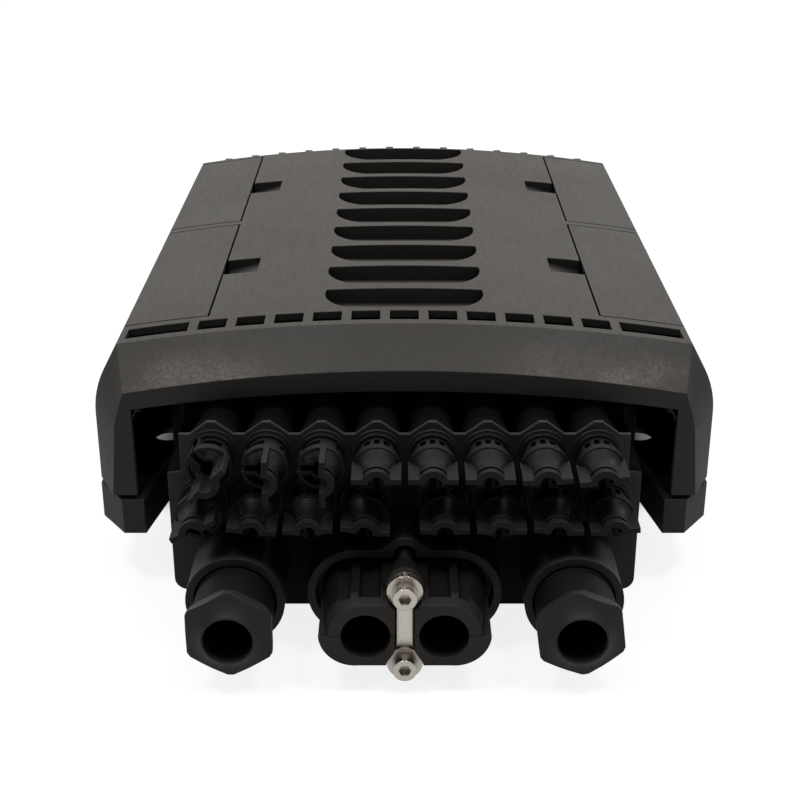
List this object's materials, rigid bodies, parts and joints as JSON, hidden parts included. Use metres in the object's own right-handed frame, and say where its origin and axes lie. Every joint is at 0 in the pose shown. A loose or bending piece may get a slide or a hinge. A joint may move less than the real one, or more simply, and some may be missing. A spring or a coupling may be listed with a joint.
{
  "type": "fibre termination box",
  "caption": "Black moulded wall box with a hinged louvred cover, flush side latches, rows of twist drop glands, round cable glands and a split oval cable port.",
  "frame": {"origin": "middle of the four wall fixings, on the back plane", "axes": "+X to the right seen from the ports, +Y from the ports to the hinge, +Z off the wall"},
  "size_m": [0.244, 0.3775, 0.106],
  "materials": {
    "base_plastic": "moulded, fine grain",
    "cover_plastic": "moulded, fine spark texture",
    "latch_plastic": "moulded, fine spark texture",
    "gland_plastic": "moulded, satin",
    "nut_plastic": "moulded, satin",
    "insert_plastic": "moulded, satin",
    "seal_rubber": "soft",
    "holder_rubber": "soft",
    "pin_steel": "drawn",
    "link_steel": "pressed",
    "screw_steel": "satin",
    "bracket_metal": "folded sheet",
    "adapter_plastic": "moulded",
    "tray_plastic": "moulded",
    "lid_plastic": "clear sheet, shown pale"
  },
  "bodies": {
    "housing": {"adapter_panel": "bracket_metal", "base_housing": "base_plastic", "cable_clamp_screws": "screw_steel", "cable_clamps": "tray_plastic", "clamp_link": "link_steel", "clamp_screws": "screw_steel", "clamp_washers": "screw_steel", "cover_gasket": "seal_rubber", "drop_seals": "seal_rubber", "fibre_adapters": "adapter_plastic", "gland_seal_left": "seal_rubber", "gland_seal_right": "seal_rubber", "gland_washer_left": "nut_plastic", "gland_washer_right": "nut_plastic", "hinge_pins": "pin_steel", "oval_insert_lower": "insert_plastic", "oval_insert_upper": "insert_plastic", "oval_seal": "seal_rubber", "panel_screws": "screw_steel", "splice_holders": "holder_rubber", "splice_tray": "tray_plastic", "splitter_module": "bracket_metal", "tray_lid": "lid_plastic", "tray_posts": "tray_plastic", "tray_screws": "screw_steel"},
    "cover": {"cover": "cover_plastic", "latch_pins": "pin_steel"},
    "latch_left_front": {"latch_left_front": "latch_plastic"},
    "latch_left_back": {"latch_left_back": "latch_plastic"},
    "latch_right_front": {"latch_right_front": "latch_plastic"},
    "latch_right_back": {"latch_right_back": "latch_plastic"},
    "drop_gland_01": {"drop_gland_01": "gland_plastic"},
    "drop_gland_02": {"drop_gland_02": "gland_plastic"},
    "drop_gland_03": {"drop_gland_03": "gland_plastic"},
    "drop_gland_04": {"drop_gland_04": "gland_plastic"},
    "drop_gland_05": {"drop_gland_05": "gland_plastic"},
    "drop_gland_06": {"drop_gland_06": "gland_plastic"},
    "drop_gland_07": {"drop_gland_07": "gland_plastic"},
    "drop_gland_08": {"drop_gland_08": "gland_plastic"},
    "drop_gland_09": {"drop_gland_09": "gland_plastic"},
    "drop_gland_10": {"drop_gland_10": "gland_plastic"},
    "drop_gland_11": {"drop_gland_11": "gland_plastic"},
    "drop_gland_12": {"drop_gland_12": "gland_plastic"},
    "drop_gland_13": {"drop_gland_13": "gland_plastic"},
    "drop_gland_14": {"drop_gland_14": "gland_plastic"},
    "drop_gland_15": {"drop_gland_15": "gland_plastic"},
    "drop_gland_16": {"drop_gland_16": "gland_plastic"},
    "gland_nut_left": {"gland_nut_left": "nut_plastic"},
    "gland_nut_right": {"gland_nut_right": "nut_plastic"}
  },
  "joints": [
    {"name": "cover_hinge", "type": "hinge", "parent": "housing", "child": "cover", "pos_m": [0, 0.1485, 0.044], "axis": [-1, 0, 0], "range_deg": [0, 105]},
    {"name": "latch_left_front_swing", "type": "hinge", "parent": "cover", "child": "latch_left_front", "pos_m": [-0.1173, 0.0147, 0.0615], "axis": [0, -1, 0], "range_deg": [0, 30]},
    {"name": "latch_left_back_swing", "type": "hinge", "parent": "cover", "child": "latch_left_back", "pos_m": [-0.1173, 0.0147, 0.0615], "axis": [0, -1, 0], "range_deg": [0, 30]},
    {"name": "latch_right_front_swing", "type": "hinge", "parent": "cover", "child": "latch_right_front", "pos_m": [0.1173, 0.0147, 0.0615], "axis": [0, 1, 0], "range_deg": [0, 30]},
    {"name": "latch_right_back_swing", "type": "hinge", "parent": "cover", "child": "latch_right_back", "pos_m": [0.1173, 0.0147, 0.0615], "axis": [0, 1, 0], "range_deg": [0, 30]},
    {"name": "drop_gland_01_twist", "type": "hinge", "parent": "housing", "child": "drop_gland_01", "pos_m": [-0.07122, 0, 0.0693], "axis": [0, 1, 0], "range_deg": [-165, 15]},
    {"name": "drop_gland_02_twist", "type": "hinge", "parent": "housing", "child": "drop_gland_02", "pos_m": [-0.05087, 0, 0.0693], "axis": [0, 1, 0], "range_deg": [-120, 60]},
    {"name": "drop_gland_03_twist", "type": "hinge", "parent": "housing", "child": "drop_gland_03", "pos_m": [-0.03053, 0, 0.0693], "axis": [0, 1, 0], "range_deg": [-120, 60]},
    {"name": "drop_gland_04_twist", "type": "hinge", "parent": "housing", "child": "drop_gland_04", "pos_m": [-0.01018, 0, 0.0693], "axis": [0, 1, 0], "range_deg": [-30, 150]},
    {"name": "drop_gland_05_twist", "type": "hinge", "parent": "housing", "child": "drop_gland_05", "pos_m": [0.01018, 0, 0.0693], "axis": [0, 1, 0], "range_deg": [-30, 150]},
    {"name": "drop_gland_06_twist", "type": "hinge", "parent": "housing", "child": "drop_gland_06", "pos_m": [0.03053, 0, 0.0693], "axis": [0, 1, 0], "range_deg": [-30, 150]},
    {"name": "drop_gland_07_twist", "type": "hinge", "parent": "housing", "child": "drop_gland_07", "pos_m": [0.05087, 0, 0.0693], "axis": [0, 1, 0], "range_deg": [-27, 153]},
    {"name": "drop_gland_08_twist", "type": "hinge", "parent": "housing", "child": "drop_gland_08", "pos_m": [0.07122, 0, 0.0693], "axis": [0, 1, 0], "range_deg": [-22, 158]},
    {"name": "drop_gland_09_twist", "type": "hinge", "parent": "housing", "child": "drop_gland_09", "pos_m": [-0.07545, 0, 0.0509], "axis": [0, 1, 0], "range_deg": [-5, 175]},
    {"name": "drop_gland_10_twist", "type": "hinge", "parent": "housing", "child": "drop_gland_10", "pos_m": [-0.0551, 0, 0.0509], "axis": [0, 1, 0], "range_deg": [-36, 144]},
    {"name": "drop_gland_11_twist", "type": "hinge", "parent": "housing", "child": "drop_gland_11", "pos_m": [-0.03475, 0, 0.0509], "axis": [0, 1, 0], "range_deg": [-28, 152]},
    {"name": "drop_gland_12_twist", "type": "hinge", "parent": "housing", "child": "drop_gland_12", "pos_m": [-0.0144, 0, 0.0509], "axis": [0, 1, 0], "range_deg": [-38, 142]},
    {"name": "drop_gland_13_twist", "type": "hinge", "parent": "housing", "child": "drop_gland_13", "pos_m": [0.0144, 0, 0.0509], "axis": [0, 1, 0], "range_deg": [-30, 150]},
    {"name": "drop_gland_14_twist", "type": "hinge", "parent": "housing", "child": "drop_gland_14", "pos_m": [0.03475, 0, 0.0509], "axis": [0, 1, 0], "range_deg": [-30, 150]},
    {"name": "drop_gland_15_twist", "type": "hinge", "parent": "housing", "child": "drop_gland_15", "pos_m": [0.0551, 0, 0.0509], "axis": [0, 1, 0], "range_deg": [-34, 146]},
    {"name": "drop_gland_16_twist", "type": "hinge", "parent": "housing", "child": "drop_gland_16", "pos_m": [0.07545, 0, 0.0509], "axis": [0, 1, 0], "range_deg": [-26, 154]},
    {"name": "gland_nut_left_turn", "type": "hinge", "parent": "housing", "child": "gland_nut_left", "pos_m": [-0.0619, 0, 0.0233], "axis": [0, 1, 0], "continuous": true},
    {"name": "gland_nut_right_turn", "type": "hinge", "parent": "housing", "child": "gland_nut_right", "pos_m": [0.0619, 0, 0.0233], "axis": [0, 1, 0], "continuous": true}
  ]
}
